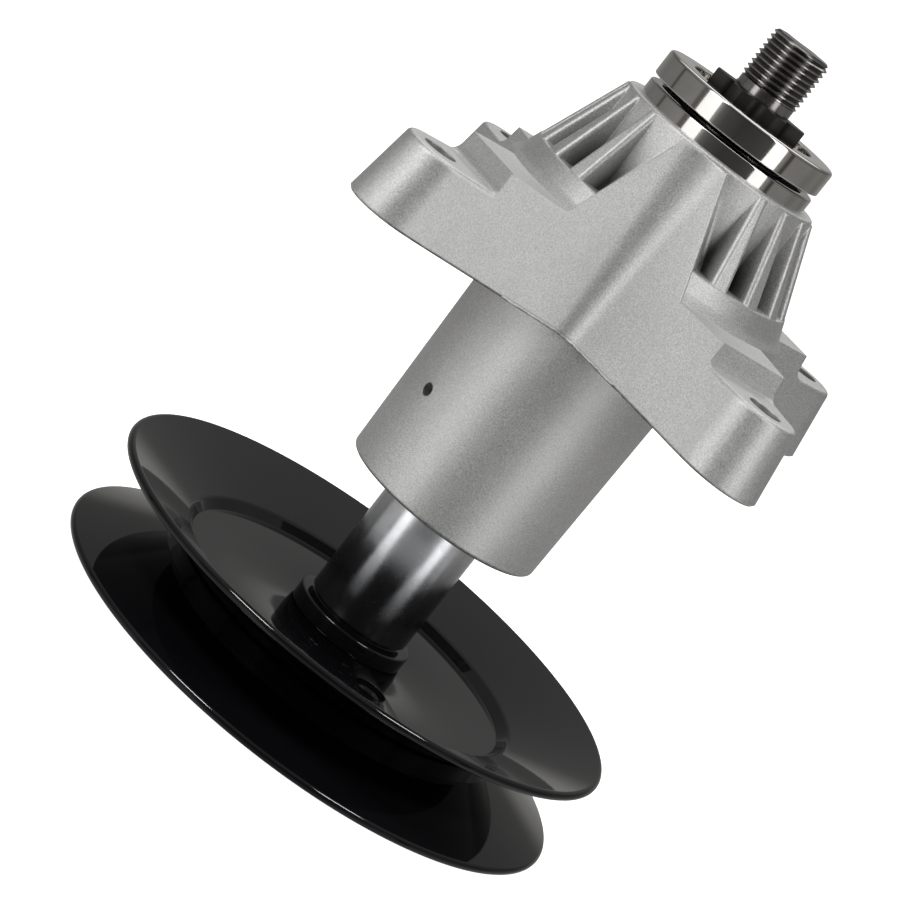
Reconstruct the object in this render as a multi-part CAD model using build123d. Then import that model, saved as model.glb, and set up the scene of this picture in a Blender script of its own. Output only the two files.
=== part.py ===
from build123d import *
import math
import os

# Mower deck spindle, in millimetres. The axis is Z. The threaded blade end is up,
# and the origin is at the middle of the pulley's lower rim.

# Pulley: two pressed sheet halves, back to back
PULLEY_RADIUS = 70.85
PULLEY_HEIGHT = 25.6
SHEET = 2.3
WEB_RADIUS = 46.2
STEP_WIDTH = 2.4
STEP_RISE = 2.6
SHEET_BEND = 1.6
PULLEY_BORE = 9.5
WEB_HOLE_RADIUS = 4.25
WEB_HOLE_PLACE = 28.9
WEB_HOLE_ANGLE = -58.8

# Clamped stack between the pulley and its bearing
COLLAR_RADIUS = 16.05
COLLAR_TOP = 19.45
LAND_RADIUS = 12.7
SLEEVE_BOTTOM = 20.65
SLEEVE_RADIUS = 13.75
KEY_WIDTH = 4.0
KEY_INNER = 7.6
KEY_OUTER = 11.2
KEY_BOTTOM = 11.0
KEY_TOP = 18.6
KEY_SLACK = 0.05
WASHER_RADIUS = 15.0
WASHER_THICK = 1.4
NUT_FLATS = 23.8
NUT_HEIGHT = 8.0

# Ball bearings, 20 x 47 x 14
BEARING_BORE = 10.0
BEARING_OUTER = 23.5
BEARING_WIDTH = 14.0
INNER_SHOULDER = 14.4
OUTER_SHOULDER = 20.3
BALL_RADIUS = 3.97
BALL_COUNT = 8
BALL_PITCH = 16.75
RACEWAY_RADIUS = 4.07
CAGE_INNER = 15.6
CAGE_OUTER = 17.9
CAGE_HALF = 4.75
POCKET_RADIUS = 4.12
SEAL_INNER = 14.7
SEAL_THICK = 0.9
SEAL_INSET = 0.4
RING_CHAMFER = 0.6
PULLEY_BEARING_BOTTOM = 56.4
BLADE_BEARING_TOP = 166.1

# Shaft and dust shield
SHAFT_RADIUS = 10.0
SHAFT_END = 0.7
THREAD_RADIUS = 7.9
NECK_RADIUS = 7.5
STAR_RADIUS = 12.65
STAR_BLANK = 12.9
STAR_TOOTH_HALF = 7.5
STAR_VALLEY = 8.12
STAR_VALLEY_FILLET = 3.6
STAR_TURN = 4.8
STAR_POINTS = 6
STAR_TOP = 177.2
NECK_TOP = 179.4
THREAD_TOP = 192.7
THREAD_CHAMFER = 1.0
SHIELD_RADIUS = 23.67
SHIELD_BOTTOM = 167.5
SHIELD_TOP = 174.0
SHIELD_RECESS = 16.95
SHIELD_FLOOR = 169.8
SHIELD_HUB = 14.2
SPACER_RADIUS = 13.0

# Cast housing
BARREL_BOTTOM = 54.4
BARREL_BOTTOM_RADIUS = 26.55
BARREL_TOP_RADIUS = 27.7
HOUSING_BORE = 20.8
FLANGE_BOTTOM = 109.4
LUG_TOP = 128.0
BLOCK_TOP = 133.75
POCKET_FLOOR = 140.35
NOSE_TOP = 162.4
NOSE_RADIUS = 26.85
NOSE_FOOT_RADIUS = 27.4
LUG_PITCH = 92.0
LUG_RADIUS = 11.55
LUG_LEAN = 0.117
LUG_ROUND = 1.2
LUG_HOLE_RADIUS = 4.3
VALLEY = 27.36
VALLEY_FILLET = 6.0
CAST_DRAFT = 5.14
STEP_FOOT = 53.3
STEP_HEAD = 52.4
STEP_FILLET = 2.5
FLANGE_CHAMFER = 0.6
BOSS_FOOT_RADIUS = 41.8
BOSS_TOP_RADIUS = 39.8
SHOULDER_RADIUS = 38.0
SHOULDER_LEVEL = 135.6
SHOULDER_FILLET = 3.0
FLOOR_RADIUS = 36.08
FLOOR_ROUND = 0.5
WEB_FOOT_HALF = 16.3
WEB_HEAD_HALF = 6.2
WEB_HEAD = 161.7
WEB_ROUND = 1.5
RIB_ANGLES = (-54, -36, -18, 0, 18, 36, 54)
RIB_BURY = 0.5
RIB_FOOT = 36.1
RIB_HEAD = 27.3
RIB_FOOT_THICK = 5.0
RIB_HEAD_THICK = 2.6
RIB_ROUND = 1.1
WEEP_HOLE_RADIUS = 1.65
WEEP_HOLE_HEIGHT = 78.6
WEEP_HOLE_ANGLE = -132.5

WEB_MIDDLE = PULLEY_HEIGHT / 2
WEB_TOP = WEB_MIDDLE + SHEET
WEB_BOTTOM = WEB_MIDDLE - SHEET
REACH = 90.0
NEAR = 0.01


def turned(*points):
    """A turned piece from its half section, given as radius and height."""
    section = make_face(Polyline(*points, close=True))
    return revolve(Plane.XZ * section, Axis.Z)


def ring(inner, outer, bottom, top):
    """A plain ring between two heights."""
    return turned((inner, bottom), (outer, bottom), (outer, top), (inner, top))


def level_edges(part, height):
    """The edges of a piece that lie flat at this height."""
    flat = part.edges().filter_by(lambda e: e.bounding_box().size.Z < NEAR)
    return flat.filter_by(lambda e: abs(e.center().Z - height) < NEAR)


def rim_edges(part, radius, height):
    """The round edges of a piece that have this radius and lie at this height."""
    round_edges = level_edges(part, height).filter_by(GeomType.CIRCLE)
    return round_edges.filter_by(lambda e: abs(e.radius - radius) < NEAR)


def plan_reach(edge):
    """How far the middle of an edge is from the axis."""
    return math.hypot(edge.center().X, edge.center().Y)


def polar(radius, angle):
    """A point in plan at a radius and an angle in degrees."""
    return (radius * math.cos(math.radians(angle)), radius * math.sin(math.radians(angle)))


# Pulley

def pulley_half():
    """The upper pressed half: flat web, short step and sloping flange with a rounded edge."""
    middle = WEB_MIDDLE + SHEET / 2
    rim = PULLEY_RADIUS - SHEET / 2
    path = FilletPolyline(
        (PULLEY_BORE - SHEET, middle),
        (WEB_RADIUS, middle),
        (WEB_RADIUS + STEP_WIDTH, middle + STEP_RISE),
        (rim, PULLEY_HEIGHT - SHEET / 2),
        radius=SHEET_BEND,
    )
    section = make_face(offset(path, amount=SHEET / 2, side=Side.BOTH))
    half = revolve(Plane.XZ * section, Axis.Z)
    bore = Pos(0, 0, WEB_MIDDLE) * Cylinder(PULLEY_BORE, PULLEY_HEIGHT)
    x, y = polar(WEB_HOLE_PLACE, WEB_HOLE_ANGLE)
    hole = Pos(x, y, WEB_MIDDLE) * Cylinder(WEB_HOLE_RADIUS, PULLEY_HEIGHT)
    return half - bore - hole - key_block(KEY_SLACK)


def lower_pulley_half():
    """The lower half mirrors the upper one."""
    return mirror(pulley_half(), Plane.XY.offset(WEB_MIDDLE))


def key_block(slack=0.0):
    """The square key, or its slot when slack is given."""
    length = KEY_OUTER - KEY_INNER + 2 * slack
    height = KEY_TOP - KEY_BOTTOM + 2 * slack
    centre = Pos((KEY_INNER + KEY_OUTER) / 2, 0, (KEY_BOTTOM + KEY_TOP) / 2)
    return centre * Box(length, KEY_WIDTH + 2 * slack, height)


def hub_collar():
    """A black collar on the web, with a narrow land that carries the sleeve."""
    collar = turned(
        (PULLEY_BORE, WEB_TOP),
        (COLLAR_RADIUS, WEB_TOP),
        (COLLAR_RADIUS, COLLAR_TOP),
        (LAND_RADIUS, COLLAR_TOP),
        (LAND_RADIUS, SLEEVE_BOTTOM),
        (PULLEY_BORE, SLEEVE_BOTTOM),
    )
    collar = chamfer(rim_edges(collar, COLLAR_RADIUS, COLLAR_TOP), 0.4)
    return collar - key_block(KEY_SLACK)


def pulley_sleeve():
    """The plated spacer sleeve from the hub to the pulley-side bearing."""
    sleeve = ring(SHAFT_RADIUS, SLEEVE_RADIUS, SLEEVE_BOTTOM, PULLEY_BEARING_BOTTOM)
    return chamfer(rim_edges(sleeve, SLEEVE_RADIUS, SLEEVE_BOTTOM), 0.3)


def pulley_washer():
    return ring(THREAD_RADIUS + 0.3, WASHER_RADIUS, WEB_BOTTOM - WASHER_THICK, WEB_BOTTOM)


def pulley_nut():
    """A hexagon nut with its outer corners turned off."""
    top = WEB_BOTTOM - WASHER_THICK
    bottom = top - NUT_HEIGHT
    corner = NUT_FLATS / 2 / math.cos(math.radians(30))
    hexagon = Plane.XY.offset(bottom) * RegularPolygon(corner, 6)
    nut = extrude(hexagon, NUT_HEIGHT) - Pos(0, 0, bottom) * Cylinder(THREAD_RADIUS, 3 * NUT_HEIGHT)
    face = NUT_FLATS / 2 - 0.2
    turning = turned(
        (0, bottom),
        (face, bottom),
        (corner + 0.5, bottom + 1.0),
        (corner + 0.5, top - 0.5),
        (face + 0.6, top),
        (0, top),
    )
    return nut & turning


# Bearings

def bearing(bottom):
    """The five parts of one sealed ball bearing, by name."""
    top = bottom + BEARING_WIDTH
    middle = bottom + BEARING_WIDTH / 2
    race = revolve(Plane.XZ * (Pos(BALL_PITCH, middle) * Circle(RACEWAY_RADIUS)), Axis.Z)
    outer = ring(OUTER_SHOULDER, BEARING_OUTER, bottom, top) - race
    inner = ring(BEARING_BORE, INNER_SHOULDER, bottom, top) - race
    for height in (bottom, top):
        outer = chamfer(rim_edges(outer, BEARING_OUTER, height), RING_CHAMFER)
        inner = chamfer(rim_edges(inner, BEARING_BORE, height), RING_CHAMFER)
    spots = PolarLocations(BALL_PITCH, BALL_COUNT)
    balls = [Pos(0, 0, middle) * spot * Sphere(BALL_RADIUS) for spot in spots]
    cage = ring(CAGE_INNER, CAGE_OUTER, middle - CAGE_HALF, middle + CAGE_HALF)
    pocket = Rot(0, 90, 0) * Cylinder(POCKET_RADIUS, 2 * (CAGE_OUTER - CAGE_INNER))
    for spot in spots:
        cage = cage - Pos(0, 0, middle) * spot * pocket
    low_seal = bottom + SEAL_INSET
    high_seal = top - SEAL_INSET - SEAL_THICK
    seals = [ring(SEAL_INNER, OUTER_SHOULDER, z, z + SEAL_THICK) for z in (low_seal, high_seal)]
    return {
        "outer_ring": outer,
        "inner_ring": inner,
        "balls": Compound(children=balls),
        "cage": cage,
        "seals": Compound(children=seals),
    }


# Shaft and what is clamped on it

def star():
    """The six-tooth head that drives the blade, with rounded valleys."""
    height = STAR_TOP - SHIELD_FLOOR
    corners = []
    for n in range(STAR_POINTS):
        tooth = STAR_TURN + n * 360 / STAR_POINTS
        corners.append(polar(STAR_BLANK, tooth - STAR_TOOTH_HALF))
        corners.append(polar(STAR_BLANK, tooth + STAR_TOOTH_HALF))
        corners.append(polar(STAR_VALLEY, tooth + 180 / STAR_POINTS))
    outline = make_face(Polyline(*corners, close=True))
    valleys = outline.vertices().filter_by(lambda v: math.hypot(v.X, v.Y) < STAR_VALLEY + NEAR)
    teeth = extrude(Plane.XY.offset(SHIELD_FLOOR) * fillet(valleys, STAR_VALLEY_FILLET), height)
    return teeth & Pos(0, 0, SHIELD_FLOOR + height / 2) * Cylinder(STAR_RADIUS, height)


def spindle_shaft():
    """The one-piece shaft: pulley thread, keyed seat, bearing length, star, neck and blade thread."""
    seat_top = SLEEVE_BOTTOM
    thread_end = WEB_BOTTOM + 0.3
    body = turned(
        (0, SHAFT_END),
        (THREAD_RADIUS - THREAD_CHAMFER, SHAFT_END),
        (THREAD_RADIUS, SHAFT_END + THREAD_CHAMFER),
        (THREAD_RADIUS, thread_end),
        (PULLEY_BORE, thread_end),
        (PULLEY_BORE, seat_top),
        (SHAFT_RADIUS, seat_top),
        (SHAFT_RADIUS, SHIELD_FLOOR),
        (NECK_RADIUS, SHIELD_FLOOR),
        (NECK_RADIUS, NECK_TOP),
        (THREAD_RADIUS, NECK_TOP + 0.4),
        (THREAD_RADIUS, THREAD_TOP - THREAD_CHAMFER),
        (THREAD_RADIUS - THREAD_CHAMFER, THREAD_TOP),
        (0, THREAD_TOP),
    )
    return body + star() - key_block(KEY_SLACK)


def bearing_spacer():
    """The tube that keeps the two inner rings apart."""
    bottom = PULLEY_BEARING_BOTTOM + BEARING_WIDTH
    top = BLADE_BEARING_TOP - BEARING_WIDTH
    return ring(SHAFT_RADIUS, SPACER_RADIUS, bottom, top)


def dust_shield():
    """The polished cup ring over the blade-side bearing."""
    shield = turned(
        (SHAFT_RADIUS, BLADE_BEARING_TOP),
        (SHIELD_HUB, BLADE_BEARING_TOP),
        (SHIELD_HUB, SHIELD_BOTTOM),
        (SHIELD_RADIUS, SHIELD_BOTTOM),
        (SHIELD_RADIUS, SHIELD_TOP),
        (SHIELD_RECESS, SHIELD_TOP),
        (SHIELD_RECESS, SHIELD_FLOOR),
        (SHAFT_RADIUS, SHIELD_FLOOR),
    )
    shield = fillet(rim_edges(shield, SHIELD_RADIUS, SHIELD_TOP), 1.3)
    shield = chamfer(rim_edges(shield, SHIELD_RADIUS, SHIELD_BOTTOM), 0.4)
    return chamfer(rim_edges(shield, SHIELD_RECESS, SHIELD_TOP), 0.3)


# Housing

def wall_slope():
    """The plan angle of the straight walls, which touch the round lugs at the flange's foot."""
    half = LUG_PITCH / 2
    return math.atan2(half - VALLEY, half) + math.asin(LUG_RADIUS / math.hypot(half, half - VALLEY))


def arms_outline(height):
    """The four-armed plan at a height above the flange's foot: straight walls, round lugs and valleys."""
    slope = wall_slope()
    inset = height * math.tan(math.radians(CAST_DRAFT))
    valley = VALLEY - inset / math.cos(slope)
    centre = LUG_PITCH / 2 - LUG_LEAN * height / math.sqrt(2)
    radius = centre * math.sin(slope) - (centre - valley) * math.cos(slope)
    x, y = centre - radius * math.sin(slope), -centre - radius * math.cos(slope)
    far = centre + radius / math.sqrt(2)
    edges = []
    for n in range(4):
        turn = Rot(0, 0, 90 * n)
        edges.append(turn * Line((0, -valley), (x, y)))
        edges.append(turn * ThreePointArc((x, y), (far, -far), (-y, -x)))
        edges.append(turn * Line((-y, -x), (valley, 0)))
    outline = make_face(edges)
    inner = outline.vertices().filter_by(lambda v: math.hypot(v.X, v.Y) < valley + 1)
    return Plane.XY.offset(FLANGE_BOTTOM + height) * fillet(inner, VALLEY_FILLET + inset)


def front_back_walls():
    """The solid between the front and back walls, drawn in towards the nose."""
    side = VALLEY + REACH * math.tan(wall_slope())
    outline = make_face(
        Polyline(
            (0, -VALLEY), (REACH, -side), (REACH, side), (0, VALLEY), (-REACH, side), (-REACH, -side),
            close=True,
        )
    )
    valleys = outline.vertices().filter_by(lambda v: abs(v.X) < 1)
    outline = fillet(valleys, VALLEY_FILLET)
    return extrude(Plane.XY.offset(FLANGE_BOTTOM) * outline, NOSE_TOP - FLANGE_BOTTOM, taper=CAST_DRAFT)


def lug_steps():
    """What is cut from the arms above the four lugs: a step with a sloping wall."""
    section = make_face(
        Polyline(
            (STEP_FOOT, LUG_TOP), (REACH, LUG_TOP), (REACH, POCKET_FLOOR), (STEP_HEAD, BLOCK_TOP),
            close=True,
        )
    )
    cut = extrude(Plane.XZ * section, REACH / 2, both=True)
    return [Rot(0, 0, 45 + 90 * n) * cut for n in range(4)]


def flange():
    """The four arms with their lugs, one step below the blocks, with cast edges rounded."""
    body = loft([arms_outline(0), arms_outline(BLOCK_TOP - FLANGE_BOTTOM)], ruled=True)
    for cut in lug_steps():
        body = body - cut
    feet = level_edges(body, LUG_TOP).filter_by(lambda e: abs(plan_reach(e) - STEP_FOOT) < NEAR)
    body = fillet(feet, STEP_FILLET)
    rims = level_edges(body, LUG_TOP).filter_by(lambda e: plan_reach(e) > STEP_FOOT + STEP_FILLET)
    body = fillet(rims, LUG_ROUND)
    return chamfer(level_edges(body, FLANGE_BOTTOM), FLANGE_CHAMFER)


def boss():
    """The round boss under the ribs, flush with them, cut flat by the front and back walls."""
    body = turned(
        (0, FLANGE_BOTTOM),
        (BOSS_FOOT_RADIUS, FLANGE_BOTTOM),
        (BOSS_TOP_RADIUS, BLOCK_TOP),
        (SHOULDER_RADIUS, SHOULDER_LEVEL),
        (FLOOR_RADIUS, POCKET_FLOOR),
        (0, POCKET_FLOOR),
    )
    body = fillet(rim_edges(body, SHOULDER_RADIUS, SHOULDER_LEVEL), SHOULDER_FILLET)
    body = fillet(rim_edges(body, FLOOR_RADIUS, POCKET_FLOOR), FLOOR_ROUND)
    return body & front_back_walls()


def gussets():
    """The front and back webs: a wedge that narrows towards the nose."""
    fall = (WEB_FOOT_HALF - WEB_HEAD_HALF) / (WEB_HEAD - BLOCK_TOP)
    foot = WEB_FOOT_HALF + fall * (BLOCK_TOP - LUG_TOP)
    section = make_face(
        Polyline(
            (-foot, LUG_TOP), (foot, LUG_TOP), (WEB_HEAD_HALF, WEB_HEAD), (-WEB_HEAD_HALF, WEB_HEAD),
            close=True,
        )
    )
    web = extrude(Plane.XZ * section, REACH, both=True) & front_back_walls()
    flanks = web.edges().filter_by(lambda e: e.bounding_box().size.Z > 20 and abs(e.center().Y) > VALLEY - 4)
    return fillet(flanks, WEB_ROUND)


def rib():
    """One radial rib along +X, thinner and shorter towards the nose, with rounded outer edges."""
    inner = NOSE_RADIUS - 4
    foot = POCKET_FLOOR - RIB_BURY
    side = make_face(
        Polyline((inner, foot), (RIB_FOOT, foot), (RIB_HEAD, WEB_HEAD), (inner, WEB_HEAD), close=True)
    )
    foot_half, head_half = RIB_FOOT_THICK / 2, RIB_HEAD_THICK / 2
    end = make_face(
        Polyline(
            (-foot_half, foot), (foot_half, foot), (head_half, WEB_HEAD), (-head_half, WEB_HEAD), close=True
        )
    )
    plate = extrude(Plane.XZ * side, RIB_FOOT_THICK, both=True) & extrude(Plane.YZ * end, 2 * RIB_FOOT)
    outer = plate.edges().filter_by(lambda e: e.center().X > NOSE_RADIUS and e.bounding_box().size.Z > 5)
    return fillet(outer, RIB_ROUND)


def ribs():
    """Two fans of seven ribs, left and right."""
    plate = rib()
    return [Rot(0, 0, side + angle) * plate for side in (0, 180) for angle in RIB_ANGLES]


def barrel():
    """The tapered tube and the nose, without the bore."""
    body = turned(
        (0, BARREL_BOTTOM),
        (BARREL_BOTTOM_RADIUS, BARREL_BOTTOM),
        (BARREL_TOP_RADIUS, FLANGE_BOTTOM),
        (NOSE_FOOT_RADIUS, POCKET_FLOOR),
        (NOSE_RADIUS, NOSE_TOP),
        (0, NOSE_TOP),
    )
    body = fillet(rim_edges(body, BARREL_BOTTOM_RADIUS, BARREL_BOTTOM), 1.0)
    return fillet(rim_edges(body, NOSE_RADIUS, NOSE_TOP), 0.8)


def housing_bore():
    """The through bore with a seat at each end and a shoulder behind each bearing."""
    low_seat = PULLEY_BEARING_BOTTOM + BEARING_WIDTH
    high_seat = BLADE_BEARING_TOP - BEARING_WIDTH
    return turned(
        (0, BARREL_BOTTOM - 1),
        (BEARING_OUTER, BARREL_BOTTOM - 1),
        (BEARING_OUTER, low_seat),
        (HOUSING_BORE, low_seat),
        (HOUSING_BORE, high_seat),
        (BEARING_OUTER, high_seat),
        (BEARING_OUTER, NOSE_TOP + 1),
        (0, NOSE_TOP + 1),
    )


def spindle_housing():
    """The cast housing in one piece."""
    body = barrel() + flange() + boss() + gussets()
    for plate in ribs():
        body = body + plate
    half = LUG_PITCH / 2
    for x in (-half, half):
        for y in (-half, half):
            body = body - Pos(x, y, LUG_TOP) * Cylinder(LUG_HOLE_RADIUS, 2 * (LUG_TOP - FLANGE_BOTTOM) + 2)
    weep = Rot(0, 0, WEEP_HOLE_ANGLE) * Pos(BARREL_TOP_RADIUS, 0, WEEP_HOLE_HEIGHT) * Rot(0, 90, 0)
    body = body - weep * Cylinder(WEEP_HOLE_RADIUS, 20)
    return body - housing_bore()


def parts():
    """Every piece by its node name."""
    pieces = {
        "spindle_housing": spindle_housing(),
        "spindle_shaft": spindle_shaft(),
        "dust_shield": dust_shield(),
        "bearing_spacer": bearing_spacer(),
        "pulley_sleeve": pulley_sleeve(),
        "hub_collar": hub_collar(),
        "upper_pulley_half": pulley_half(),
        "lower_pulley_half": lower_pulley_half(),
        "pulley_key": key_block(),
        "pulley_washer": pulley_washer(),
        "pulley_nut": pulley_nut(),
    }
    ends = {"blade_bearing": BLADE_BEARING_TOP - BEARING_WIDTH, "pulley_bearing": PULLEY_BEARING_BOTTOM}
    for end, bottom in ends.items():
        for name, piece in bearing(bottom).items():
            pieces[f"{end}_{name}"] = piece
    return pieces


os.makedirs("parts", exist_ok=True)
for name, piece in parts().items():
    export_step(piece, f"parts/{name}.step")
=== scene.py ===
import math

import bpy
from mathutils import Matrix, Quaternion, Vector


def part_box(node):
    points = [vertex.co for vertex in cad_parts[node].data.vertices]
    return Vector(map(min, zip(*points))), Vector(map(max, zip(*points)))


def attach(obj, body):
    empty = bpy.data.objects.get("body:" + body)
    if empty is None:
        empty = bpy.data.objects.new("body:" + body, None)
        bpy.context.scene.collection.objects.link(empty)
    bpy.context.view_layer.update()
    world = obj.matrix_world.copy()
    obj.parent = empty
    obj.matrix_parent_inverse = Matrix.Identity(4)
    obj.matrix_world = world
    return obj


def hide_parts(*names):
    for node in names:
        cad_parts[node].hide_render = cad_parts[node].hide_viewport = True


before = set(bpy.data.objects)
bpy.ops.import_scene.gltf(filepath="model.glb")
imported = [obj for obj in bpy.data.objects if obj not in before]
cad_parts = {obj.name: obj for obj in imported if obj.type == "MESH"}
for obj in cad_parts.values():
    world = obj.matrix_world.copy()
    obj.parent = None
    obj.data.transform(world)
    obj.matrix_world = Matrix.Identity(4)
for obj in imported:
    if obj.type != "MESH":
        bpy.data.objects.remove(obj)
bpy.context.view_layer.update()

bl_info = {
    "name": "Mower deck spindle",
    "version": (1, 0, 0),
    "blender": (4, 5, 0),
    "location": "View3D > Sidebar > Spindle",
    "description": "Turned, pressed, cast and threaded pieces of a mower deck spindle, with a studio",
    "category": "Object",
}

MM = 0.001
FACETS = 160
SMOOTH_ANGLE = math.radians(32)


# Modelling helpers

def only(obj):
    """Select one object and nothing else."""
    if bpy.context.object and bpy.context.object.mode != "OBJECT":
        bpy.ops.object.mode_set(mode="OBJECT")
    bpy.ops.object.select_all(action="DESELECT")
    obj.select_set(True)
    bpy.context.view_layer.objects.active = obj


def turned(name, profile, facets=FACETS, closed=True):
    """A turned piece: a circle carried along a profile of (radius, height) in millimetres."""
    bpy.ops.object.select_all(action="DESELECT")
    r, z = profile[0]
    bpy.ops.mesh.primitive_circle_add(vertices=facets, radius=r * MM, location=(0, 0, z * MM))
    obj = bpy.context.object
    obj.name = obj.data.name = name
    bpy.ops.object.transform_apply(location=True, rotation=True, scale=True)
    bpy.ops.object.mode_set(mode="EDIT")
    bpy.ops.mesh.select_all(action="SELECT")
    path = list(profile[1:]) + ([profile[0]] if closed else [])
    for r_new, z_new in path:
        move = {"value": (0, 0, (z_new - z) * MM)}
        bpy.ops.mesh.extrude_edges_move(TRANSFORM_OT_translate=move)
        k = r_new / r
        bpy.ops.transform.resize(value=(k, k, 1), center_override=(0, 0, z_new * MM))
        r, z = r_new, z_new
    if not closed:
        bpy.ops.mesh.edge_face_add()
        bpy.ops.mesh.select_all(action="DESELECT")
        bpy.ops.object.mode_set(mode="OBJECT")
        for v in obj.data.vertices[:facets]:
            v.select = True
        bpy.ops.object.mode_set(mode="EDIT")
        bpy.ops.mesh.select_mode(type="VERT")
        bpy.ops.mesh.edge_face_add()
    bpy.ops.mesh.select_all(action="SELECT")
    bpy.ops.mesh.remove_doubles(threshold=1e-6)
    bpy.ops.mesh.normals_make_consistent(inside=False)
    bpy.ops.object.mode_set(mode="OBJECT")
    return obj


def arc(centre, radius, start, end, steps):
    """Profile points along an arc, angles in degrees."""
    x, y = centre
    angles = [math.radians(start + (end - start) * n / steps) for n in range(steps + 1)]
    return [(x + radius * math.cos(a), y + radius * math.sin(a)) for a in angles]


def rounded(points, radius, steps, closed=True):
    """A profile with its corners turned into arcs; a point may carry its own radius as a third value."""
    made = []
    count = len(points)
    for n, point in enumerate(points):
        here = Vector(point[:2])
        own = point[2] if len(point) > 2 else radius
        if own == 0 or (not closed and n in (0, count - 1)):
            made.append(tuple(here))
            continue
        before = Vector(points[n - 1][:2]) - here
        after = Vector(points[(n + 1) % count][:2]) - here
        turn = math.pi - before.angle(after)
        if turn < 0.05:
            made.append(tuple(here))
            continue
        reach = min(own * math.tan(turn / 2), 0.45 * before.length, 0.45 * after.length)
        a = here + before.normalized() * reach
        b = here + after.normalized() * reach
        for s in range(steps + 1):
            t = s / steps
            made.append(tuple(a.lerp(here, t).lerp(here.lerp(b, t), t)))
    return made


def cut(obj, tool):
    """Cut a tool out of a piece, and remove the tool."""
    only(obj)
    change = obj.modifiers.new("cut", "BOOLEAN")
    change.operation = "DIFFERENCE"
    change.solver = "EXACT"
    change.object = tool
    bpy.ops.object.modifier_apply(modifier=change.name)
    bpy.data.objects.remove(tool)


def rod(x, y, bottom, top, radius, facets):
    """A plain cutter along Z, in millimetres."""
    bpy.ops.object.select_all(action="DESELECT")
    bpy.ops.mesh.primitive_cylinder_add(
        vertices=facets,
        radius=radius * MM,
        depth=(top - bottom) * MM,
        location=(x * MM, y * MM, (top + bottom) / 2 * MM),
    )
    bpy.ops.object.transform_apply(location=True, rotation=True, scale=True)
    return bpy.context.object


def prism(name, outline, bottom, top):
    """A straight prism over a plan outline, in millimetres."""
    bpy.ops.object.select_all(action="DESELECT")
    bpy.ops.mesh.primitive_circle_add(
        vertices=len(outline), radius=MM, fill_type="NGON", location=(0, 0, 0)
    )
    obj = bpy.context.object
    obj.name = obj.data.name = name
    for vertex, (x, y) in zip(obj.data.vertices, outline):
        vertex.co = (x * MM, y * MM, bottom * MM)
    bpy.ops.object.mode_set(mode="EDIT")
    bpy.ops.mesh.select_all(action="SELECT")
    bpy.ops.mesh.extrude_region_move(TRANSFORM_OT_translate={"value": (0, 0, (top - bottom) * MM)})
    bpy.ops.mesh.select_all(action="SELECT")
    bpy.ops.mesh.normals_make_consistent(inside=False)
    bpy.ops.object.mode_set(mode="OBJECT")
    return obj


def soften(obj, width, segments, angle):
    """Round the edges of a piece that are sharper than an angle in degrees."""
    only(obj)
    change = obj.modifiers.new("edges", "BEVEL")
    change.width = width * MM
    change.segments = segments
    change.limit_method = "ANGLE"
    change.angle_limit = math.radians(angle)
    change.use_clamp_overlap = True
    bpy.ops.object.modifier_apply(modifier=change.name)


def dress(obj, material, body, slot, *nodes):
    """Finish a piece: smooth shading, material, body and the nodes it stands for. The slot is not used.
    """
    only(obj)
    bpy.ops.object.shade_smooth_by_angle(angle=SMOOTH_ANGLE)
    obj.data.materials.clear()
    obj.data.materials.append(material)
    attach(obj, body)
    if nodes:
        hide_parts(*nodes)


def span(node):
    """A solid's outer radius, bottom and top, in millimetres."""
    low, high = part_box(node)
    return high.x / MM, low.z / MM, high.z / MM


# Node helpers

def map_range(tree, value, low, high, to_low, to_high):
    """Stretch a value from one range to another, kept within it."""
    made = tree.nodes.new("ShaderNodeMapRange")
    for key, number in zip(("From Min", "From Max", "To Min", "To Max"), (low, high, to_low, to_high)):
        made.inputs[key].default_value = number
    tree.links.new(value, made.inputs["Value"])
    return made.outputs["Result"]


def mix_colours(tree, factor, first, second, blend_type="MIX"):
    """Mix two colours, each a socket or red, green and blue, by a factor that may be a socket too."""
    mixed = tree.nodes.new("ShaderNodeMix")
    mixed.data_type = "RGBA"
    mixed.blend_type = blend_type
    colours = [socket for socket in mixed.inputs if socket.type == "RGBA"]
    for socket, value in zip(colours, (first, second)):
        if isinstance(value, (tuple, list)):
            socket.default_value = (*value[:3], 1)
        else:
            tree.links.new(value, socket)
    if isinstance(factor, (int, float)):
        mixed.inputs["Factor"].default_value = factor
    else:
        tree.links.new(factor, mixed.inputs["Factor"])
    return [socket for socket in mixed.outputs if socket.type == "RGBA"][0]


LOOK = "spindle_"
# The colour of the painted shade in the gap under the shield's rim
GAP_SHADE = (0.012, 0.011, 0.010)


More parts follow.
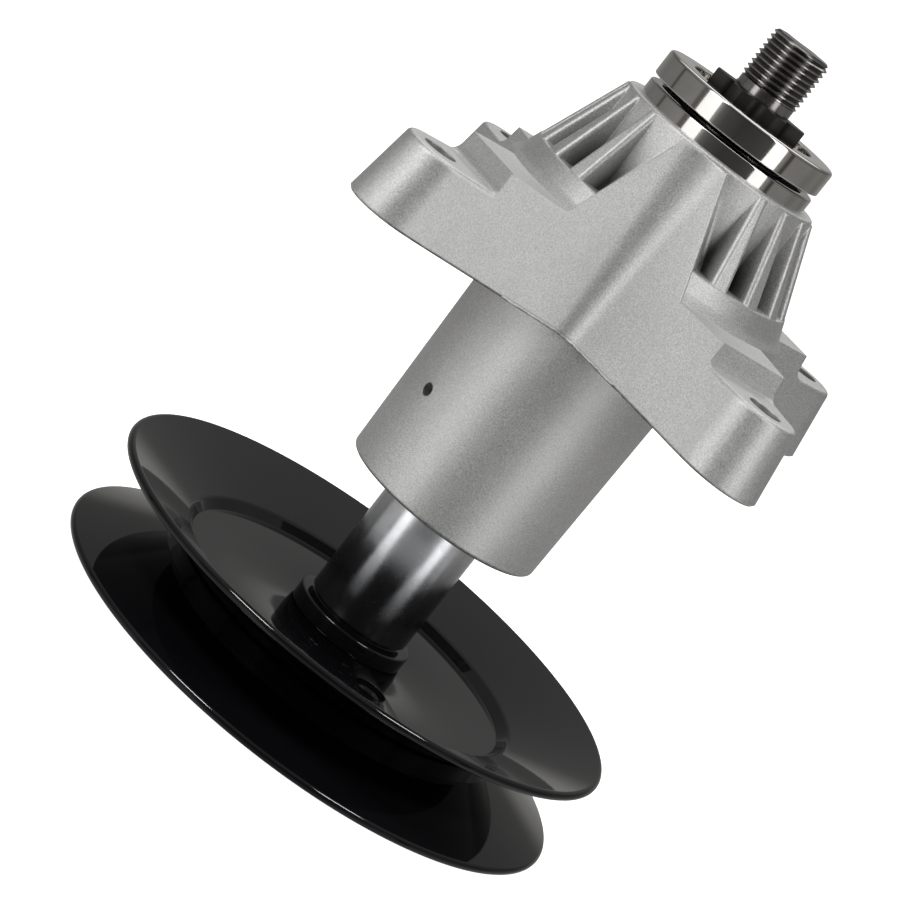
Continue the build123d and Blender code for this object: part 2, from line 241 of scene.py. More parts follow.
class Finish:
    """A node material under construction, in the object's own coordinates, which are metres."""

    def __init__(self, name):
        self.material = bpy.data.materials.new(LOOK + name)
        self.material.use_nodes = True
        self.tree = self.material.node_tree
        self.shader = self.tree.nodes["Principled BSDF"]
        coordinates = self.tree.nodes.new("ShaderNodeTexCoord")
        self.place = coordinates.outputs["Object"]

    def node(self, kind, **settings):
        """Add a node and set its inputs or settings."""
        made = self.tree.nodes.new(kind)
        for key, value in settings.items():
            if key in made.inputs.keys():
                made.inputs[key].default_value = value
            else:
                setattr(made, key, value)
        return made

    def link(self, source, target):
        """Link one socket to another."""
        self.tree.links.new(source, target)

    def set(self, **values):
        """Set plain values of the shader."""
        for key, value in values.items():
            self.shader.inputs[key.replace("_", " ")].default_value = value

    def stretched(self, x, y, z):
        """The object's coordinates, stretched along each axis."""
        mapping = self.node("ShaderNodeMapping")
        mapping.inputs["Scale"].default_value = (x, y, z)
        self.link(self.place, mapping.inputs["Vector"])
        return mapping.outputs["Vector"]

    def noise(self, scale, detail, rough, where=None):
        """Cloudy noise from nought to one."""
        made = self.node("ShaderNodeTexNoise", Scale=scale, Detail=detail, Roughness=rough)
        self.link(where or self.place, made.inputs["Vector"])
        return made.outputs["Fac"]

    def spread(self, value, low, high, to_low, to_high):
        """Stretch a value from one range to another, kept within it."""
        return map_range(self.tree, value, low, high, to_low, to_high)

    def blend(self, factor, first, second):
        """Mix two colours."""
        return mix_colours(self.tree, factor, first, second)

    def math(self, operation, *values):
        """Work out one value from sockets or numbers."""
        made = self.node("ShaderNodeMath", operation=operation)
        for socket, value in zip(made.inputs, values):
            if isinstance(value, (int, float)):
                socket.default_value = value
            else:
                self.link(value, socket)
        return made.outputs["Value"]

    def add(self, a, b):
        """One value and another."""
        return self.math("ADD", a, b)

    def minus(self, a, b):
        """One value less another."""
        return self.math("SUBTRACT", a, b)

    def times(self, a, b):
        """One value times another."""
        return self.math("MULTIPLY", a, b)

    def over(self, a, b):
        """One where the first value is the greater, and nought elsewhere."""
        return self.math("GREATER_THAN", a, b)

    def under(self, a, b):
        """One where the first value is the smaller, and nought elsewhere."""
        return self.math("LESS_THAN", a, b)

    def along(self, axis):
        """The place along one axis."""
        parts = self.node("ShaderNodeSeparateXYZ")
        self.link(self.place, parts.inputs["Vector"])
        return parts.outputs[axis]

    def beside(self, axis):
        """The distance from the middle along one axis, on either side."""
        return self.math("ABSOLUTE", self.along(axis))

    def height(self):
        """The height above the pulley's lower rim."""
        return self.along(2)

    def radius(self):
        """The distance from the spindle's axis."""
        length = self.node("ShaderNodeVectorMath", operation="LENGTH")
        self.link(self.stretched(1, 1, 0), length.inputs[0])
        return length.outputs["Value"]

    def colour(self, value):
        """Use a socket as the base colour."""
        self.link(value, self.shader.inputs["Base Color"])

    def roughness(self, value):
        """Use a socket as the roughness."""
        self.link(value, self.shader.inputs["Roughness"])

    def bump(self, *layers, under=None):
        """Bump layers of (height, distance in metres, strength), each on top of the last."""
        last = under
        for height, distance, strength in layers:
            made = self.node("ShaderNodeBump", Distance=distance, Strength=strength)
            self.link(height, made.inputs["Height"])
            if last:
                self.link(last, made.inputs["Normal"])
            last = made.outputs["Normal"]
        self.link(last, self.shader.inputs["Normal"])


def tinted(colour, share):
    """A colour made darker or lighter."""
    return tuple(min(1, c * share) for c in colour)


# The casting's shape, in millimetres

FLANGE_FOOT = 109.4
BLOCK_TOP = 133.75
WEB_TOP = 161.7
WEB_HALF_FOOT = 16.3
WEB_HALF_TOP = 6.2
WEB_FLARE = (WEB_HALF_FOOT - WEB_HALF_TOP) / (WEB_TOP - BLOCK_TOP)
BARREL_REACH = 28.5
POCKET_FLOOR = 140.4
RIB_REACH = 36.1
RIB_SLOPE = 0.412
LUG_RIM = 127.7
LUG_HOLE_PLACE = 46.0
LUG_HOLE_REACH = 4.4

# Where shade is painted on the casting, in millimetres: its pockets and the trim line at the flange's
# foot

WEB_MARGIN = 0.3
WEB_FADE = 0.6
FLOOR_FADE = 0.2
POCKET_LOW = 143.0
POCKET_HIGH = 158.0
POCKET_EDGE = 1.5
POCKET_DEEP = 6.5
TRIM_LOW = 109.45
TRIM_HIGH = 109.85


def painted_pocket_shade(f):
    """How dark the painted shade in the pockets between the ribs is: most at their feet, and none on the
    webs.
    """
    height = f.height()
    slope = f.times(f.minus(height, POCKET_FLOOR * MM), RIB_SLOPE)
    depth = f.minus(f.minus(RIB_REACH * MM, slope), f.radius())
    web = f.add(f.times(f.minus(WEB_TOP * MM, height), WEB_FLARE), (WEB_HALF_TOP + WEB_MARGIN) * MM)
    off_web = f.spread(f.minus(f.beside(0), web), 0, WEB_FADE * MM, 0, 1)
    off_floor = f.spread(height, (POCKET_FLOOR - FLOOR_FADE) * MM, POCKET_FLOOR * MM, 0, 1)
    low = f.spread(height, POCKET_HIGH * MM, POCKET_LOW * MM, 0.25, 1)
    inside = f.spread(depth, POCKET_EDGE * MM, POCKET_DEEP * MM, 0, 0.92)
    return f.times(f.times(inside, low), f.times(off_web, off_floor))


def lug_hole_shade(f):
    """Where shade is painted in the four lug holes: one inside them and nought elsewhere."""
    across = f.minus(f.beside(0), LUG_HOLE_PLACE * MM)
    along = f.minus(f.beside(1), LUG_HOLE_PLACE * MM)
    reach = f.add(f.times(across, across), f.times(along, along))
    return f.times(f.under(reach, (LUG_HOLE_REACH * MM) ** 2), f.under(f.height(), LUG_RIM * MM))


def trim_line_shade(f):
    """Painted shade along the ragged trim line at the flange's foot: one there and nought elsewhere."""
    edge = f.spread(f.noise(420, 3.0, 0.7), 0.35, 0.7, TRIM_LOW * MM, TRIM_HIGH * MM)
    return f.times(f.over(edge, f.height()), f.over(f.radius(), BARREL_REACH * MM))


def cast_finish(colour):
    """Blasted die casting: fine grain, faint blotches, painted shade in the pockets, lug holes and along
    the trim line, and softened edges.
    """
    f = Finish("cast_aluminium")
    f.set(Metallic=0.85, IOR=1.5)
    grain = f.noise(3000, 2.0, 0.6)
    coarse = f.noise(1300, 2.0, 0.6)
    blotch = f.noise(70, 3.0, 0.6)
    darker = tinted(colour, 0.76)
    mottled = f.blend(f.spread(grain, 0.34, 0.66, 0, 1), darker, tinted(colour, 1.2))
    stained = f.blend(f.spread(blotch, 0.35, 0.75, 0, 0.25), mottled, darker)
    # Painted shade in the pockets between the ribs
    shaded = f.blend(painted_pocket_shade(f), stained, tinted(colour, 0.05))
    # Painted shade in the lug holes
    hole_shaded = f.blend(lug_hole_shade(f), shaded, tinted(colour, 0.75))
    # Painted shade along the trim line at the flange's foot
    f.colour(f.blend(trim_line_shade(f), hole_shaded, tinted(colour, 0.35)))
    f.roughness(f.spread(grain, 0.3, 0.7, 0.44, 0.54))
    edges = f.node("ShaderNodeBevel", samples=6, Radius=0.4 * MM)
    f.bump((coarse, 0.00005, 0.6), (grain, 0.00006, 0.8), under=edges.outputs["Normal"])
    return f.material


# Where painted shade and a painted reflection darken bright metal, in millimetres: the gap under the
# shield's rim and the sleeve's foot

GAP_LOW = 165.9
GAP_HIGH = 167.6
GAP_REACH = 22.9
FOOT_LOW = 36.0
FOOT_HIGH = 52.0
FOOT_BLUR = 5.0


def gap_shade(f, tone):
    """Painted shade: darken a tone in the narrow gap under the shield's rim."""
    level = f.times(f.over(f.height(), GAP_LOW * MM), f.under(f.height(), GAP_HIGH * MM))
    return f.blend(f.times(level, f.under(f.radius(), GAP_REACH * MM)), tone, GAP_SHADE)


def foot_reflection(f, tone, colour, smudge):
    """Painted reflection of the black pulley: darken a tone towards the sleeve's foot, with a cloudy
    edge.
    """
    cloud = f.add(f.height(), f.spread(smudge, 0.3, 0.7, -FOOT_BLUR * MM, FOOT_BLUR * MM))
    return f.blend(f.spread(cloud, FOOT_LOW * MM, FOOT_HIGH * MM, 0.7, 0), tone, tinted(colour, 0.08))


def polished_finish(name, colour, rough, lines, gap=False, foot=False):
    """Ground or turned metal with fine rings round the axis and a few faint marks."""
    f = Finish(name)
    f.set(Metallic=1.0, IOR=1.5)
    rings = f.noise(lines, 2.0, 0.6, f.stretched(0.02, 0.02, 1))
    smudge = f.noise(110, 4.0, 0.6)
    specks = f.noise(1500, 2.0, 0.7)
    tone = f.blend(f.spread(smudge, 0.35, 0.7, 0, 1), colour, tinted(colour, 0.88))
    # Painted shade in the gap under the shield's rim
    if gap:
        tone = gap_shade(f, tone)
    # Painted reflection of the black pulley at the sleeve's foot
    if foot:
        tone = foot_reflection(f, tone, colour, smudge)
    f.colour(tone)
    worn = f.spread(smudge, 0.3, 0.75, rough * 0.8, rough * 1.35)
    f.roughness(f.add(worn, f.spread(specks, 0.62, 0.75, 0, 0.05)))
    f.bump((rings, 0.000002, 0.5), (specks, 0.000001, 0.5))
    return f.material


def paint_finish(colour):
    """Gloss powder coat: slight orange peel and faint dust."""
    f = Finish("gloss_black")
    f.set(Metallic=0.0, IOR=1.5)
    peel = f.noise(420, 2.0, 0.5)
    dust = f.noise(2400, 2.0, 0.75)
    haze = f.noise(45, 3.0, 0.6)
    dusty = tuple(c + 0.010 for c in colour)
    f.colour(f.blend(f.spread(dust, 0.66, 0.8, 0, 1), colour, dusty))
    f.roughness(f.add(f.spread(haze, 0.3, 0.7, 0.025, 0.06), f.spread(dust, 0.66, 0.8, 0, 0.06)))
    f.bump((peel, 0.00001, 0.3))
    return f.material


def shaft_finish(colour):
    """Shaft steel: bright neck and thread crests, dark thread roots, a black oxide star."""
    f = Finish("shaft_steel")
    f.set(Metallic=1.0, IOR=1.5)
    smudge = f.noise(180, 4.0, 0.65)
    fine = f.noise(2200, 3.0, 0.6, f.stretched(0.3, 0.3, 1))
    crest = f.spread(f.radius(), (CREST - 0.8) * MM, (CREST - 0.1) * MM, 0, 1)
    dark = tinted(colour, 0.22)
    turned_steel = f.blend(f.spread(smudge, 0.4, 0.75, 0, 0.35), f.blend(crest, dark, colour), dark)
    star = f.spread(f.height(), (STAR_TOP + 0.05) * MM, (STAR_TOP + 0.15) * MM, 1, 0)
    f.colour(f.blend(star, turned_steel, tinted(colour, 0.05)))
    worn = f.add(f.spread(smudge, 0.3, 0.7, 0.13, 0.22), f.spread(fine, 0.4, 0.7, 0, 0.05))
    f.roughness(f.add(worn, f.times(star, 0.26)))
    f.bump((fine, 0.000004, 0.5))
    return f.material


def rubber_finish(colour):
    """Matt moulded rubber."""
    f = Finish("seal_rubber")
    f.set(Metallic=0.0, IOR=1.5)
    grain = f.noise(1800, 3.0, 0.6)
    f.colour(f.blend(f.spread(grain, 0.3, 0.7, 0, 1), colour, tinted(colour, 1.6)))
    f.roughness(f.spread(grain, 0.3, 0.7, 0.6, 0.8))
    f.bump((grain, 0.00003, 0.4))
    return f.material


def finish(name):
    """One of the spindle's materials, made the first time it is asked for."""
    if LOOK + name in bpy.data.materials:
        return bpy.data.materials[LOOK + name]
    look = bpy.context.scene.spindle_finishes
    if name == "cast_aluminium":
        return cast_finish(tuple(look.casting))
    if name == "polished_steel":
        return polished_finish(name, tuple(look.polished), 0.07, 5200, gap=True)
    if name == "bearing_steel":
        return polished_finish(name, tuple(look.polished), 0.18, 3600)
    if name == "zinc_plate":
        return polished_finish(name, tuple(look.zinc), 0.22, 3000, foot=True)
    if name == "gloss_black":
        return paint_finish(tuple(look.paint))
    if name == "shaft_steel":
        return shaft_finish(tuple(look.shaft))
    return rubber_finish(tuple(look.rubber))


# Sizes that a user would change

class SpindleSizes(bpy.types.PropertyGroup):
    """Sizes of the details added to the solid parts."""

    thread_pitch: bpy.props.FloatProperty(
        name="Thread pitch",
        description="Distance between two thread crests, in millimetres",
        default=1.411,
        min=0.5,
        max=3.0,
    )
    thread_depth: bpy.props.FloatProperty(
        name="Thread depth",
        description="Height of the thread from root to crest, in millimetres",
        default=0.80,
        min=0.2,
        max=1.5,
    )


class SpindleFinishes(bpy.types.PropertyGroup):
    """Colours of the spindle's finishes."""

    casting: bpy.props.FloatVectorProperty(
        name="Casting",
        description="Colour of the blasted casting",
        subtype="COLOR",
        size=3,
        default=(0.66, 0.66, 0.65),
    )
    polished: bpy.props.FloatVectorProperty(
        name="Polished steel",
        description="Colour of the polished rings",
        subtype="COLOR",
        size=3,
        default=(0.66, 0.64, 0.61),
    )
    zinc: bpy.props.FloatVectorProperty(
        name="Zinc plate",
        description="Colour of the spacer sleeve, washer and nut",
        subtype="COLOR",
        size=3,
        default=(0.68, 0.69, 0.71),
    )
    shaft: bpy.props.FloatVectorProperty(
        name="Shaft steel",
        description="Colour of the shaft and thread",
        subtype="COLOR",
        size=3,
        default=(0.54, 0.52, 0.50),
    )
    paint: bpy.props.FloatVectorProperty(
        name="Paint",
        description="Colour of the pulley's paint",
        subtype="COLOR",
        size=3,
        default=(0.004, 0.004, 0.005),
    )
    rubber: bpy.props.FloatVectorProperty(
        name="Rubber",
        description="Colour of the bearing seals",
        subtype="COLOR",
        size=3,
        default=(0.02, 0.02, 0.02),
    )


# The pulley

WEB_MIDDLE = 12.8
SHEET = 2.3
SHEET_BEND = 1.6
PULLEY_BORE = 9.5
PULLEY_WEB_REACH = 46.2
STEP_WIDTH = 2.4
STEP_RISE = 2.6
PULLEY_FACETS = 240
WEB_HOLE = (14.971, -24.720)
WEB_HOLE_RADIUS = 4.25
LIP_HALF_TURN = 80


def sheet_section(path, thick):
    """The closed outline of a bent sheet that follows a path, with a round outer edge."""
    upper, lower = [], []
    for n, here in enumerate(path):
        before = Vector(path[max(n - 1, 0)])
        after = Vector(path[min(n + 1, len(path) - 1)])
        run = (after - before).normalized()
        side = Vector((-run.y, run.x)) * thick / 2
        upper.append(tuple(Vector(here) + side))
        lower.append(tuple(Vector(here) - side))
    end = Vector(path[-1])
    run = (end - Vector(path[-2])).normalized()
    angle = math.degrees(math.atan2(run.y, run.x))
    lip = arc(end, thick / 2, angle - LIP_HALF_TURN, angle + LIP_HALF_TURN, 8)
    return lower + lip + upper[::-1]


class SPINDLE_OT_pulley(bpy.types.Operator):
    """Press the two pulley halves from black coated sheet"""

    bl_idname = "spindle.pulley"
    bl_label = "Pulley halves"

    def execute(self, context):
        middle = WEB_MIDDLE + SHEET / 2
        outer, _, top = span("upper_pulley_half")
        corners = [
            (PULLEY_BORE, middle),
            (PULLEY_WEB_REACH, middle),
            (PULLEY_WEB_REACH + STEP_WIDTH, middle + STEP_RISE),
            (outer - SHEET / 2, top - SHEET / 2),
        ]
        section = sheet_section(rounded(corners, SHEET_BEND, 6, closed=False), SHEET)
        halves = (("pulley_top", "upper_pulley_half", 1), ("pulley_bottom", "lower_pulley_half", -1))
        for name, node, flip in halves:
            profile = [(r, WEB_MIDDLE + flip * (z - WEB_MIDDLE)) for r, z in section]
            half = turned(name, profile, PULLEY_FACETS)
            cut(half, rod(*WEB_HOLE, 0, 2 * WEB_MIDDLE + 0.4, WEB_HOLE_RADIUS, 64))
            soften(half, 0.12, 2, 50)
            dress(half, finish("gloss_black"), "rotor", "gloss_black", node)
        return {"FINISHED"}


# The clamped stack

LAND_RADIUS = 12.7
LAND_HEIGHT = 1.2
SLEEVE_BORE = 10.0
WASHER_BORE = 8.2


def tube(name, node, bore, round_off, steps):
    """A plain tube with rounded edges in a solid's place."""
    outer, bottom, top = span(node)
    profile = [(bore, bottom), (outer, bottom), (outer, top), (bore, top)]
    return turned(name, rounded(profile, round_off, steps))


class SPINDLE_OT_stack(bpy.types.Operator):
    """Turn the hub collar, the sleeve and the washer"""

    bl_idname = "spindle.stack"
    bl_label = "Collar, sleeve and washer"

    def execute(self, context):
        outer, bottom, top = span("hub_collar")
        shoulder = top - LAND_HEIGHT
        profile = [
            (PULLEY_BORE, bottom),
            (outer, bottom),
            (outer, shoulder),
            (LAND_RADIUS, shoulder),
            (LAND_RADIUS, top),
            (PULLEY_BORE, top),
        ]
        collar = turned("collar", rounded(profile, 0.6, 4))
        dress(collar, finish("gloss_black"), "rotor", "gloss_black", "hub_collar")
        sleeve = tube("sleeve", "pulley_sleeve", SLEEVE_BORE, 0.35, 3)
        dress(sleeve, finish("zinc_plate"), "rotor", "zinc_plate", "pulley_sleeve")
        washer = tube("washer", "pulley_washer", WASHER_BORE, 0.2, 2)
        dress(washer, finish("zinc_plate"), "rotor", "zinc_plate", "pulley_washer")
        return {"FINISHED"}


# The shield and the bearing ring

SHIELD_BORE = 10.0
SHIELD_HUB = 14.2
SHIELD_UNDERSIDE = 167.5
SHIELD_RECESS = 16.95
SHIELD_FLOOR = 169.8
RING_BORE = 20.3
BALL_CIRCLE = 16.75
RACE_RADIUS = 4.07
RACE_HALF_TURN = 29


class SPINDLE_OT_rings(bpy.types.Operator):
    """Turn the polished dust shield and the bearing's outer ring"""

    bl_idname = "spindle.rings"
    bl_label = "Dust shield and bearing ring"

    def execute(self, context):
        outer, hub, top = span("dust_shield")
        profile = [
            (SHIELD_BORE, hub),
            (SHIELD_HUB, hub),
            (SHIELD_HUB, SHIELD_UNDERSIDE),
            (outer, SHIELD_UNDERSIDE, 0.4),
            (outer, top, 1.0),
            (SHIELD_RECESS, top),
            (SHIELD_RECESS, SHIELD_FLOOR),
            (SHIELD_BORE, SHIELD_FLOOR),
        ]
        shield = turned("shield", rounded(profile, 0.3, 6))
        dress(shield, finish("polished_steel"), "rotor", "polished_steel", "dust_shield")
        outer, bottom, top = span("blade_bearing_outer_ring")
        race = arc((BALL_CIRCLE, (top + bottom) / 2), RACE_RADIUS, RACE_HALF_TURN, -RACE_HALF_TURN, 8)
        outside = [(outer, bottom), (outer, top), (RING_BORE, top), (RING_BORE, race[0][1])]
        inside = race + [(RING_BORE, race[-1][1]), (RING_BORE, bottom)]
        ring = turned("bearing_ring", rounded(outside, 0.45, 5, closed=False) + inside)
        dress(ring, finish("polished_steel"), "housing", "polished_steel", "blade_bearing_outer_ring")
        return {"FINISHED"}


# The shaft

SHAFT_RADIUS = 10.0
SHAFT_CORE = 7.0
LOWER_SHOULDER = 10.8
COLLAR_TOP = 20.65
JOINT = 0.5
STAR_RADIUS = 12.65
STAR_TOOTH_HALF = 7.5
STAR_TIP_ROUND = 0.3
STAR_VALLEY = 8.12
STAR_VALLEY_ROUND = 3.6
STAR_TURN = 4.8
STAR_POINTS = 6
STAR_TOP = 177.2
NECK_RADIUS = 7.5
NECK_TOP = 179.4
NECK_CHAMFER_RADIUS = 6.6
LOWER_THREAD_TOP = 11.2
CREST = 7.9
THREAD_CHAMFER = 0.15


def thread(name, bottom, top, pitch, depth):
    """A closed screw thread between two heights, with chamfered ends."""
    root = CREST - depth
    flat = pitch / 8
    flank = (pitch - 2 * flat) / 2
    tooth = [
        (root, 0),
        (root, flat),
        (root + depth / 2, flat + flank / 2),
        (CREST, flat + flank),
        (CREST, 2 * flat + flank),
        (root + depth / 2, 2 * flat + 1.5 * flank),
        (root, pitch),
    ]
    start = bottom - 2 * pitch
    turns = math.ceil((top - bottom) / pitch) + 4
    bpy.ops.object.select_all(action="DESELECT")
    bpy.ops.mesh.primitive_circle_add(vertices=3, radius=1, location=(0, 0, 0))
    obj = bpy.context.object
    obj.name = obj.data.name = name
    bpy.ops.object.mode_set(mode="EDIT")
    bpy.ops.mesh.select_all(action="SELECT")
    bpy.ops.mesh.merge(type="CENTER")
    last = Vector((0, 0, 0))
    for r, z in tooth:
        here = Vector((r * MM, 0, (start + z) * MM))
        if last.length == 0:
            bpy.ops.transform.translate(value=here)
        else:
            bpy.ops.mesh.extrude_vertices_move(TRANSFORM_OT_translate={"value": here - last})
        last = here
    bpy.ops.object.mode_set(mode="OBJECT")
    screw = obj.modifiers.new("screw", "SCREW")
    screw.axis = "Z"
    screw.angle = math.tau
    screw.screw_offset = pitch * MM
    screw.iterations = turns
    screw.steps = screw.render_steps = 72
    screw.use_merge_vertices = True
    screw.merge_threshold = 1e-6
    screw.use_normal_calculate = True
    bpy.ops.object.modifier_apply(modifier=screw.name)
    bpy.ops.object.mode_set(mode="EDIT")
    bpy.ops.mesh.select_all(action="SELECT")
    bpy.ops.mesh.remove_doubles(threshold=2e-6)
    for height, outward in ((bottom, -1), (top, 1)):
        bpy.ops.mesh.select_all(action="SELECT")
        bpy.ops.mesh.bisect(plane_co=(0, 0, height * MM), plane_no=(0, 0, outward), clear_outer=True)
    bpy.ops.mesh.select_all(action="DESELECT")
    bpy.ops.mesh.select_non_manifold()
    bpy.ops.mesh.fill_holes(sides=0)
    bpy.ops.mesh.select_all(action="SELECT")
    bpy.ops.mesh.normals_make_consistent(inside=False)
    bpy.ops.object.mode_set(mode="OBJECT")
    for v in obj.data.vertices:
        far = math.hypot(v.co.x, v.co.y)
        edge = min(top * MM - v.co.z, v.co.z - bottom * MM) + (root - THREAD_CHAMFER) * MM
        if far > edge:
            v.co.x *= edge / far
            v.co.y *= edge / far
    return obj


def star_outline():
    """The plan of the six-tooth head: flat flanks, rounded valleys and turned tips."""
    corners = []
    for n in range(STAR_POINTS):
        tooth = STAR_TURN + n * 360 / STAR_POINTS
        for angle, reach, round_off in (
            (-STAR_TOOTH_HALF, STAR_RADIUS, STAR_TIP_ROUND),
            (0, STAR_RADIUS, 0),
            (STAR_TOOTH_HALF, STAR_RADIUS, STAR_TIP_ROUND),
            (180 / STAR_POINTS, STAR_VALLEY, STAR_VALLEY_ROUND),
        ):
            a = math.radians(tooth + angle)
            corners.append((reach * math.cos(a), reach * math.sin(a), round_off))
    return rounded(corners, 0, 8)


class SPINDLE_OT_shaft(bpy.types.Operator):
    """Turn the shaft, mill its star and cut both threads"""

    bl_idname = "spindle.shaft"
    bl_label = "Shaft with star and threads"

    def execute(self, context):
        sizes = context.scene.spindle_sizes
        _, bottom, top = span("spindle_shaft")
        profile = [
            (SHAFT_CORE, LOWER_SHOULDER),
            (PULLEY_BORE, LOWER_SHOULDER),
            (PULLEY_BORE, COLLAR_TOP),
            (SHAFT_RADIUS, COLLAR_TOP),
            (SHAFT_RADIUS, SHIELD_FLOOR + JOINT),
            (SHAFT_CORE, SHIELD_FLOOR + JOINT),
        ]
        stem = turned("shaft", rounded(profile, 0.2, 2, closed=False), 96, closed=False)
        star = prism("star", star_outline(), SHIELD_FLOOR, STAR_TOP)
        soften(star, 0.22, 2, 60)
        profile = [
            (NECK_RADIUS, STAR_TOP - 1),
            (NECK_RADIUS, NECK_TOP + 0.2),
            (NECK_CHAMFER_RADIUS, NECK_TOP + 0.6),
        ]
        neck = turned("neck", profile, 96, closed=False)
        pitch, depth = sizes.thread_pitch, sizes.thread_depth
        upper = thread("upper_thread", NECK_TOP - 0.3, top, pitch, depth)
        lower = thread("lower_thread", bottom, LOWER_THREAD_TOP, pitch, depth)
        only(stem)
        for piece in (star, neck, upper, lower):
            piece.select_set(True)
        bpy.ops.object.join()
        dress(stem, finish("shaft_steel"), "rotor", "shaft_steel", "spindle_shaft")
        return {"FINISHED"}


# The nut

class SPINDLE_OT_nut(bpy.types.Operator):
    """Model the pulley nut"""

    bl_idname = "spindle.nut"
    bl_label = "Pulley nut"

    def execute(self, context):
        corner, bottom, top = span("pulley_nut")
        bpy.ops.object.select_all(action="DESELECT")
        bpy.ops.mesh.primitive_cylinder_add(
            vertices=6,
            radius=corner * MM,
            depth=(top - bottom) * MM,
            location=(0, 0, (top + bottom) / 2 * MM),
            rotation=(0, 0, math.radians(30)),
        )
        nut = bpy.context.object
        nut.name = nut.data.name = "nut"
        bpy.ops.object.transform_apply(location=True, rotation=True, scale=True)
        soften(nut, 0.5, 3, 40)
        cut(nut, rod(0, 0, bottom - 1, top + 1, CREST, 72))
        dress(nut, finish("zinc_plate"), "rotor", "zinc_plate", "pulley_nut")
        return {"FINISHED"}


# The casting's front and back walls, and the skins that fill them out, in millimetres

WALL_VALLEY = 27.36
WALL_SLOPE = math.radians(35.52)
WALL_DRAFT = math.tan(math.radians(5.14))
WALL_BLEND = 30.0
VALLEY_ROUND = 6.0
VALLEY_GAIN = 0.0756
SKIN_FOOT = FLANGE_FOOT + 0.7
SKIN_DEPTH = 6.0
SKIN_COLUMNS = 48
SUNK = 0.03
WEB_LAP = 6.0
WEB_TUCK = 0.04


def wall_reach(x, z):
    """How far the front wall stands from the axis: the drafted wall, fuller along its valley."""
    height = z - FLANGE_FOOT
    inset = WALL_DRAFT * height
    radius = VALLEY_ROUND + inset
    x = abs(x)
    if x > radius * math.sin(WALL_SLOPE):
        wall = x * math.tan(WALL_SLOPE)
    else:
        wall = radius / math.cos(WALL_SLOPE) - math.sqrt(radius ** 2 - x ** 2)
    blend = min(1, x / WALL_BLEND)
    share = 1 - blend * blend * (3 - 2 * blend)
    return WALL_VALLEY - inset / math.cos(WALL_SLOPE) + wall + VALLEY_GAIN * height * share - SUNK


def wall_skin(name, side, foot, head, rows, tuck=0):
    """A slab on the front (-1) or back (1) wall, between a foot and a head of (height, half width).

    Its back stays inside the casting. The tuck draws its foot in too, below the tops of the blocks.
    """
    bpy.ops.object.select_all(action="DESELECT")
    bpy.ops.mesh.primitive_grid_add(
        x_subdivisions=SKIN_COLUMNS, y_subdivisions=rows, size=2, location=(0, 0, 0)
    )
    obj = bpy.context.object
    obj.name = obj.data.name = name
    for v in obj.data.vertices:
        rise = (v.co.y + 1) / 2
        z = foot[0] + (head[0] - foot[0]) * rise
        x = v.co.x * (foot[1] + (head[1] - foot[1]) * rise)
        drawn = tuck * max(0, BLOCK_TOP - z) ** 2
        v.co = (-side * x * MM, side * (wall_reach(x, z) - drawn) * MM, z * MM)
    bpy.ops.object.mode_set(mode="EDIT")
    bpy.ops.mesh.select_all(action="SELECT")
    bpy.ops.mesh.extrude_region_move(TRANSFORM_OT_translate={"value": (0, -side * SKIN_DEPTH * MM, 0)})
    bpy.ops.mesh.select_all(action="SELECT")
    bpy.ops.mesh.normals_make_consistent(inside=False)
    bpy.ops.object.mode_set(mode="OBJECT")
    return obj


class SPINDLE_OT_walls(bpy.types.Operator):
    """Fill out the front and back walls and webs of the casting along their valleys"""

    bl_idname = "spindle.walls"
    bl_label = "Front and back walls"

    def execute(self, context):
        wall_foot = (SKIN_FOOT, WALL_BLEND)
        wall_head = (BLOCK_TOP - 0.05, WALL_BLEND)
        web_foot = (BLOCK_TOP - WEB_LAP, WEB_HALF_FOOT + WEB_LAP * WEB_FLARE)
        web_head = (WEB_TOP, WEB_HALF_TOP)
        for place, side in (("front", -1), ("back", 1)):
            wall = wall_skin(place + "_wall", side, wall_foot, wall_head, 12)
            web = wall_skin(place + "_web", side, web_foot, web_head, 32, WEB_TUCK)
            soften(web, 0.9, 4, 50)
            for piece in (wall, web):
                dress(piece, finish("cast_aluminium"), "housing", "cast_aluminium")
        return {"FINISHED"}


class SPINDLE_OT_housing(bpy.types.Operator):
    """Give the cast housing its rounded edges and blasted skin"""

    bl_idname = "spindle.housing"
    bl_label = "Cast housing"

    def execute(self, context):
        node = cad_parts["spindle_housing"]
        casting = node.copy()
        casting.data = node.data.copy()
        casting.name = casting.data.name = "casting"
        for key in list(casting.keys()):
            del casting[key]
        casting.parent = None
        context.scene.collection.objects.link(casting)
        only(casting)
        casting.data.materials.clear()
        casting.data.materials.append(finish("cast_aluminium"))
        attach(casting, "housing")
        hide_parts("spindle_housing")
        return {"FINISHED"}


# The parts that keep their solid shape

PLAIN_NODES = {
    "bearing_spacer": "zinc_plate",
    "pulley_key": "bearing_steel",
    "blade_bearing_inner_ring": "bearing_steel",
    "blade_bearing_balls": "bearing_steel",
    "blade_bearing_cage": "bearing_steel",
    "blade_bearing_seals": "seal_rubber",
    "pulley_bearing_outer_ring": "polished_steel",
    "pulley_bearing_inner_ring": "bearing_steel",
    "pulley_bearing_balls": "bearing_steel",
    "pulley_bearing_cage": "bearing_steel",
    "pulley_bearing_seals": "seal_rubber",
}


class SPINDLE_OT_inside(bpy.types.Operator):
    """Give the bearings, spacer and key their finishes"""

    bl_idname = "spindle.inside"
    bl_label = "Bearings, spacer and key"

    def execute(self, context):
        for name, look in PLAIN_NODES.items():
            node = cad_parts[name]
            if not node.material_slots:
                node.data.materials.append(None)
            for place in node.material_slots:
                place.material = finish(look)
        return {"FINISHED"}


# The studio

